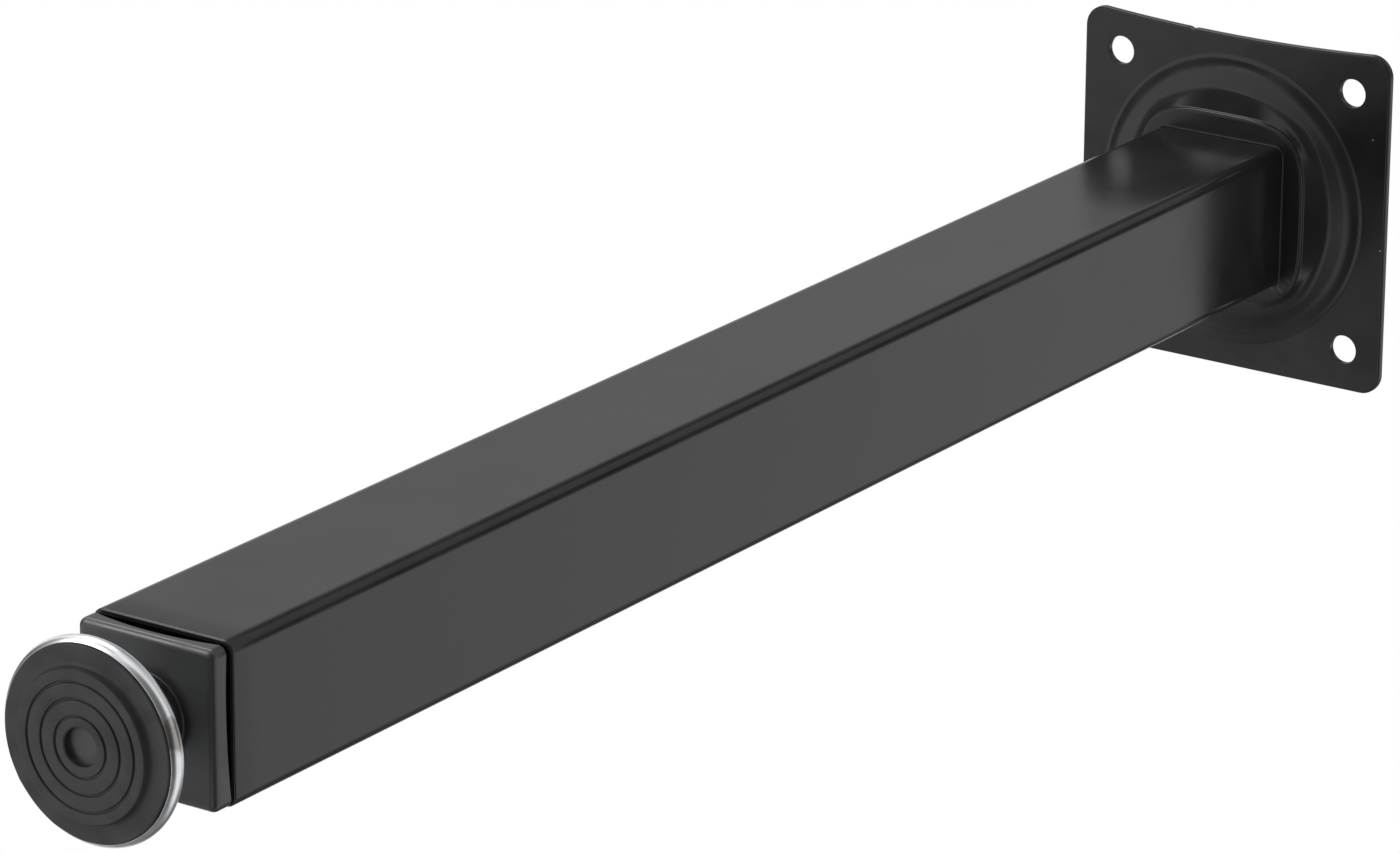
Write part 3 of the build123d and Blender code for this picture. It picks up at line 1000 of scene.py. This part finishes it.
def paint_finish(colours, name, gloss, marks=()):
    """Gloss black paint over steel: soft orange peel, nibs and dust, a slow change of gloss, pale marks.

    gloss gives the least and the greatest roughness, and marks each mark's place and size.
    """
    made = Finish(name)
    peel = made.effect("surface grain", "Height", Grain_Size=0.0016, Fine_Share=0.25)
    nibs = made.effect("dust specks", "Mask", Cell_Size=0.009, Speck_Size=0.00028, Share=0.22)
    dust = made.effect("dust specks", "Mask", Cell_Size=0.0045, Speck_Size=0.00012, Share=0.12)
    slow = made.effect("slow tone", "Tone", Patch_Size=0.03)
    base = np.array(colours.paint)
    shade = made.mix(slow, tuple(base * 0.85), tuple(base * 1.25))
    shade = made.mix(dust, shade, (0.09, 0.09, 0.09))
    for place, size in marks:
        spot = made.mark(place, (1.0, 1.0, 1.0), size, 0.25)
        shade = made.mix(spot, shade, (0.22, 0.22, 0.22))
    made.feed(shade, "Base Color")
    made.feed(made.spread(slow, *gloss), "Roughness")
    made.shader.inputs["IOR"].default_value = 1.45
    made.bump([(peel, 0.000006), (nibs, 0.00003)])
    return made.material


def plastic_finish(colours):
    """Black moulded plastic: fine satin texture, slow flow tone and light scuffs."""
    scuff_place, scuff_stretch = (0.0092, -0.0105, 0.0233), (1.0, 0.8, 1.0)
    made = Finish("black plastic")
    texture = made.effect("surface grain", "Height", Grain_Size=0.00022, Fine_Share=0.6)
    slow = made.effect("slow tone", "Tone", Patch_Size=0.012)
    base = np.array(colours.plastic)
    shade = made.mix(slow, tuple(base * 0.8), tuple(base * 1.3))
    scuff = made.mark(scuff_place, scuff_stretch, 0.0035, 0.9)
    shade = made.mix(scuff, shade, (0.06, 0.06, 0.06))
    dust = made.effect("dust specks", "Mask", Cell_Size=0.0028, Speck_Size=0.00012, Share=0.25)
    shade = made.mix(dust, shade, (0.16, 0.16, 0.16))
    made.feed(shade, "Base Color")
    made.feed(made.spread(slow, 0.3, 0.42), "Roughness")
    made.shader.inputs["Specular IOR Level"].default_value = 0.75
    made.bump([(texture, 0.000006)])
    return made.material


def zinc_finish(colours):
    """Bright zinc plating: bluish metal with circular lines, a slow clouding, pits and a painted dark
    reflection, a greyish patch on the rim's +Y side.
    """
    dark_reflection_place, dark_reflection_stretch = (0.007, 0.0232, 0.004), (1.0, 1.0, 0.6)
    made = Finish("bright zinc")
    lines = made.effect("circular lines", "Tone", Line_Width=0.0003)
    cloud = made.effect("slow tone", "Tone", Patch_Size=0.006)
    # Painted dark reflection: a greyish patch on the rim's +Y side, mixed into the zinc's colour
    painted_reflection_mask = made.mark(dark_reflection_place, dark_reflection_stretch, 0.0055, 0.5)
    base = np.array(colours.zinc)
    shade = made.mix(cloud, tuple(base * 0.9), tuple(np.minimum(base * 1.05, 1.0)))
    shade = made.mix(painted_reflection_mask, shade, (0.33, 0.31, 0.3))
    pits = made.effect("dust specks", "Mask", Cell_Size=0.002, Speck_Size=0.00012, Share=0.3)
    shade = made.mix(pits, shade, (0.3, 0.3, 0.3))
    made.feed(shade, "Base Color")
    made.shader.inputs["Metallic"].default_value = 1.0
    made.feed(made.spread(lines, 0.2, 0.36), "Roughness")
    made.bump([(lines, 0.000004), (cloud, 0.00001)])
    return made.material


def rubber_finish(colours):
    """Black moulded rubber: matt, faintly mottled, with pale dust in places and painted light that makes the
    recess paler.
    """
    recess_light_place, recess_light_stretch = (0.0, 0.0, 0.0024), (1.0, 1.0, 1.2)
    made = Finish("black rubber")
    grain = made.effect("surface grain", "Height", Grain_Size=0.0004, Fine_Share=0.8)
    slow = made.effect("slow tone", "Tone", Patch_Size=0.008)
    dust = made.effect("dust specks", "Mask", Cell_Size=0.0016, Speck_Size=0.00013, Share=0.3)
    base = np.array(colours.rubber)
    shade = made.mix(slow, tuple(base * 0.82), tuple(base * 1.18))
    shade = made.mix(dust, shade, tuple(base * 2.4))
    # Painted light: the recess is made paler, as though more light reached its floor and walls
    recess = made.mark(recess_light_place, recess_light_stretch, 0.0055, 0.1)
    shade = made.mix(recess, shade, tuple(base * 1.6))
    made.feed(shade, "Base Color")
    made.feed(made.spread(slow, 0.46, 0.6), "Roughness")
    made.shader.inputs["Specular IOR Level"].default_value = 0.2
    made.bump([(grain, 0.000018)])
    return made.material


# Steps that build the leg


class LEG_OT_finishes(bpy.types.Operator):
    """Builds the shared surface effects and the finishes"""

    bl_idname = "leg.finishes"
    bl_label = "Finishes"

    def execute(self, context):
        for build in (build_grain, build_cloud, build_specks, build_mark, build_lathe_lines):
            build()
        colours = context.scene.finish_colours
        plate_marks = (
            ((0.0247, 0.0436, 0.5006), 0.00035),
            ((0.002, 0.0317, 0.4979), 0.0004),
            ((-0.0036, 0.0372, 0.4979), 0.0003),
            ((-0.0063, 0.0472, 0.5006), 0.0003),
        )
        paint_finish(colours, "gloss black paint", (0.15, 0.22))
        paint_finish(colours, "gloss black paint on the plate", (0.22, 0.3), plate_marks)
        plastic_finish(colours)
        zinc_finish(colours)
        rubber_finish(colours)
        return {"FINISHED"}


class LEG_OT_tube(bpy.types.Operator):
    """Builds the square tube"""

    bl_idname = "leg.tube"
    bl_label = "Tube"

    def execute(self, context):
        paint = bpy.data.materials["gloss black paint"]
        patches = tube_patches(context.scene.tube_sizes)
        make_piece("painted_tube", patches, "leg", "leg_tube", paint)
        return {"FINISHED"}


class LEG_OT_plate(bpy.types.Operator):
    """Builds the pressed mounting plate and the weld in its hollow"""

    bl_idname = "leg.plate"
    bl_label = "Plate and weld"

    def execute(self, context):
        paint = bpy.data.materials["gloss black paint on the plate"]
        patches = plate_patches(context.scene.plate_sizes)
        make_piece("pressed_plate", patches, "leg", "mounting_plate", paint)
        patches = weld_patches(context.scene.tube_sizes)
        make_piece("rippled_weld", patches, "leg", "weld_bead", paint)
        return {"FINISHED"}


class LEG_OT_insert(bpy.types.Operator):
    """Builds the moulded end insert and finishes the nut in it"""

    bl_idname = "leg.insert"
    bl_label = "End insert"

    def execute(self, context):
        plastic = bpy.data.materials["black plastic"]
        patches = insert_patches(context.scene.insert_sizes)
        make_piece("moulded_insert", patches, "leg", "end_insert", plastic)
        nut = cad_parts["insert_nut"]
        nut.data.materials.clear()
        nut.data.materials.append(bpy.data.materials["bright zinc"])
        return {"FINISHED"}


class LEG_OT_foot(bpy.types.Operator):
    """Builds the threaded stud, the rolled cup and the rubber pad"""

    bl_idname = "leg.foot"
    bl_label = "Foot"

    def execute(self, context):
        sizes = context.scene.foot_sizes
        zinc, rubber = bpy.data.materials["bright zinc"], bpy.data.materials["black rubber"]
        make_piece("threaded_stud", stud_patches(sizes), "stud", "foot_stud", zinc)
        make_piece("rolled_cup", cup_patches(sizes), "foot", "foot_cup", zinc)
        make_piece("ringed_pad", pad_patches(sizes), "foot", "foot_pad", rubber)
        return {"FINISHED"}


class LEG_OT_stage(bpy.types.Operator):
    """Sets up the floor, the lamps, the room's light and the camera"""

    bl_idname = "leg.stage"
    bl_label = "Stage"

    def execute(self, context):
        settings = context.scene.studio_settings
        self.make_floor(settings)
        self.make_room(settings)
        self.make_lamps(settings)
        self.make_camera(settings)
        context.scene.view_settings.view_transform = "Standard"
        return {"FINISHED"}

    def make_floor(self, settings):
        """Pale floor that only a camera above it sees, so light and a view from below pass through it.

        It shows fully near the leg and fades out between two distances, into the white of the room.
        """
        size, level = 3.0, -0.0002
        whole, gone = 0.35, 1.4
        mesh = bpy.data.meshes.new("studio_floor")
        corners = [(-size, -size, level), (size, -size, level), (size, size, level), (-size, size, level)]
        mesh.from_pydata(corners, [], [(0, 1, 2, 3)])
        floor = bpy.data.objects.new("studio_floor", mesh)
        bpy.context.scene.collection.objects.link(floor)
        made = Finish("pale floor")
        tree = made.tree
        made.shader.inputs["Base Color"].default_value = (*settings.floor, 1.0)
        made.shader.inputs["Roughness"].default_value = 0.8
        path, side = node(tree, "ShaderNodeLightPath"), node(tree, "ShaderNodeNewGeometry")
        clear, switch = node(tree, "ShaderNodeBsdfTransparent"), node(tree, "ShaderNodeMixShader")
        front = calculate(tree, "SUBTRACT", 1.0, (side, "Backfacing"))
        seen = calculate(tree, "MULTIPLY", (path, "Is Camera Ray"), front)
        place = node(tree, "ShaderNodeTexCoord")
        distance = node(tree, "ShaderNodeVectorMath", operation="LENGTH")
        join(tree, (place, "Object"), (distance, 0))
        fade = smooth_change(tree, (distance, "Value"), whole, gone, 1.0, 0.0)
        join(tree, calculate(tree, "MULTIPLY", fade, seen), (switch, 0))
        join(tree, (clear, 0), (switch, 1))
        join(tree, (made.shader, 0), (switch, 2))
        join(tree, (switch, 0), (tree.nodes["Material Output"], "Surface"))
        mesh.materials.append(made.material)

    def make_room(self, settings):
        """Even pale light, and white for what camera, gloss and glass see of the room.

        Gloss also finds soft dark regions. In a region the white falls by its depth, smoothly between
        its outer and its inner angle from a direction.
        """
        world = bpy.data.worlds.new("studio")
        world.use_nodes = True
        tree = world.node_tree
        back = tree.nodes["Background"]
        path, place = node(tree, "ShaderNodeLightPath"), node(tree, "ShaderNodeTexCoord")
        gloss = 1.0
        for direction, inner, outer, depth in DARK_REGIONS:
            near = node(tree, "ShaderNodeVectorMath", operation="DOT_PRODUCT")
            join(tree, (place, "Generated"), (near, 0))
            near.inputs[1].default_value = Vector(direction).normalized()
            start, end = math.cos(math.radians(outer)), math.cos(math.radians(inner))
            fall = smooth_change(tree, (near, "Value"), start, end, 1.0, 1.0 - depth)
            gloss = calculate(tree, "MULTIPLY", fall, gloss)
        plain = calculate(tree, "MAXIMUM", (path, "Is Camera Ray"), (path, "Is Transmission Ray"))
        level = calculate(tree, "MULTIPLY_ADD", plain, 1.0 - settings.room, settings.room)
        more = calculate(tree, "SUBTRACT", gloss, settings.room)
        level = calculate(tree, "MULTIPLY_ADD", (path, "Is Glossy Ray"), more, level)
        back.inputs["Color"].default_value = (1.0, 1.0, 1.0, 1.0)
        join(tree, level, (back, "Strength"))
        bpy.context.scene.world = world

    def make_lamps(self, settings):
        """Soft round lamps: beside the leg, on the foot, and one under the sole that gloss doesn't show."""
        # Name, place, what it points at, power, width, spread in degrees, whether gloss shows it
        lamps = (
            ("side_lamp", (1.65, -0.91, 0.69), (0.0, 0.0, 0.25), settings.side, 0.9, 180, True),
            ("foot_lamp", (0.38, -0.33, -0.25), (0.0, 0.0, 0.02), settings.foot, 0.35, 60, True),
            ("sole_lamp", (-0.18, -0.27, -0.74), (0.0, 0.0, 0.0), settings.sole, 0.3, 180, False),
        )
        for name, place, target, energy, width, spread, in_gloss in lamps:
            light = bpy.data.lights.new(name, "AREA")
            light.shape = "DISK"
            light.energy, light.size, light.spread = energy, width, math.radians(spread)
            lamp = bpy.data.objects.new(name, light)
            lamp.location = place
            lamp.rotation_euler = (Vector(target) - Vector(place)).to_track_quat("-Z", "Y").to_euler()
            lamp.visible_glossy = in_gloss
            bpy.context.scene.collection.objects.link(lamp)

    def make_camera(self, settings):
        """Camera where the photograph was taken from, from below and beside the foot."""
        lens = bpy.data.cameras.new("camera")
        lens.lens, lens.sensor_width = settings.lens, 36.0
        lens.clip_start, lens.clip_end = 0.05, 50.0
        camera = bpy.data.objects.new("camera", lens)
        camera.location = CAMERA_PLACE
        camera.rotation_mode = "QUATERNION"
        camera.rotation_quaternion = Quaternion(CAMERA_TURN)
        bpy.context.scene.collection.objects.link(camera)
        bpy.context.scene.camera = camera


class LEG_PT_dresser(bpy.types.Panel):
    """Lists the steps that build the leg"""

    bl_label = "Table Leg"
    bl_idname = "LEG_PT_dresser"
    bl_space_type = "VIEW_3D"
    bl_region_type = "UI"
    bl_category = "Table Leg"

    def draw(self, context):
        for operator in OPERATORS:
            self.layout.operator(operator.bl_idname)
        for setting in SETTINGS:
            box = self.layout.box()
            box.label(text=setting.replace("_", " "))
            group = getattr(context.scene, setting)
            for name in group.__annotations__:
                box.prop(group, name)


OPERATORS = (LEG_OT_finishes, LEG_OT_tube, LEG_OT_plate, LEG_OT_insert, LEG_OT_foot, LEG_OT_stage)
SETTINGS = {
    "tube_sizes": TubeSizes,
    "plate_sizes": PlateSizes,
    "insert_sizes": InsertSizes,
    "foot_sizes": FootSizes,
    "finish_colours": FinishColours,
    "studio_settings": StudioSettings,
}


def register():
    """Makes the classes and the settings known to Blender."""
    for kind in (*SETTINGS.values(), *OPERATORS, LEG_PT_dresser):
        bpy.utils.register_class(kind)
    for name, kind in SETTINGS.items():
        setattr(bpy.types.Scene, name, PointerProperty(type=kind))


def unregister():
    """Takes the settings and the classes away again."""
    for name in SETTINGS:
        delattr(bpy.types.Scene, name)
    for kind in reversed((*SETTINGS.values(), *OPERATORS, LEG_PT_dresser)):
        bpy.utils.unregister_class(kind)


def main():
    """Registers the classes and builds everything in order."""
    register()
    bpy.ops.leg.finishes()
    bpy.ops.leg.tube()
    bpy.ops.leg.plate()
    bpy.ops.leg.insert()
    bpy.ops.leg.foot()
    bpy.ops.leg.stage()


if __name__ == "__main__":
    main()
